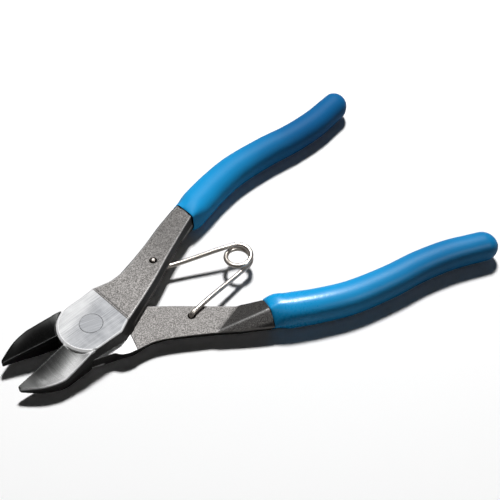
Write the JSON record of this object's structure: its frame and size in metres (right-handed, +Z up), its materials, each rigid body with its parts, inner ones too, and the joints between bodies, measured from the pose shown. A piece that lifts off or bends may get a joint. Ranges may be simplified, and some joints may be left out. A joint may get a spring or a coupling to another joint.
{
  "type": "flush cutter",
  "caption": "Hand cutter with sloped cutting jaws on a riveted lap joint, a wire return spring between the handles and dipped-style sleeve grips.",
  "frame": {"origin": "on the joint rivet's axis, at the joint's ground underside", "axes": "+X runs from the joint to the handles along the middle of the open tool, the jaws point to -X, +Y is the side of the upper half's handle, and +Z is up along the rivet's axis"},
  "size_m": [0.1749, 0.1014, 0.0122],
  "materials": {
    "forged_steel": "drop-forged steel with a matt grey blasted skin; the joint faces and the jaws' top faces are ground bright",
    "ground_steel": "ground flush with the joint face, satin",
    "spring_wire": "drawn wire, bright with a slightly warm tint",
    "blue_vinyl": "blue plastisol, satin gloss, smooth"
  },
  "bodies": {
    "lower": {"lower_half": "forged_steel", "joint_rivet": "ground_steel", "lower_grip": "blue_vinyl"},
    "upper": {"upper_half": "forged_steel", "upper_grip": "blue_vinyl"},
    "spring_lower": {"spring_lower_leg": "spring_wire"},
    "spring_upper": {"spring_upper_leg": "spring_wire"}
  },
  "joints": [
    {"name": "pivot", "type": "hinge", "parent": "lower", "child": "upper", "pos_m": [0, 0, 0.0051], "axis": [0, 0, 1], "range_deg": [-20.5, 10], "stiffness_Nm_per_rad": 1.1},
    {"name": "spring_lower_end", "type": "hinge", "parent": "lower", "child": "spring_lower", "pos_m": [0.0325, -0.01265, 0.0051], "axis": [0, 0, 1], "range_deg": [-22.5, 11]},
    {"name": "spring_coil", "type": "hinge", "parent": "spring_lower", "child": "spring_upper", "pos_m": [0.0607, 0, 0.0051], "axis": [0, 0, 1], "range_deg": [-12, 24]}
  ],
  "couplings": [
    {"joint": "spring_lower_end", "follows": "pivot", "ratio": 1.0737},
    {"joint": "spring_coil", "follows": "pivot", "ratio": -1.1475}
  ]
}
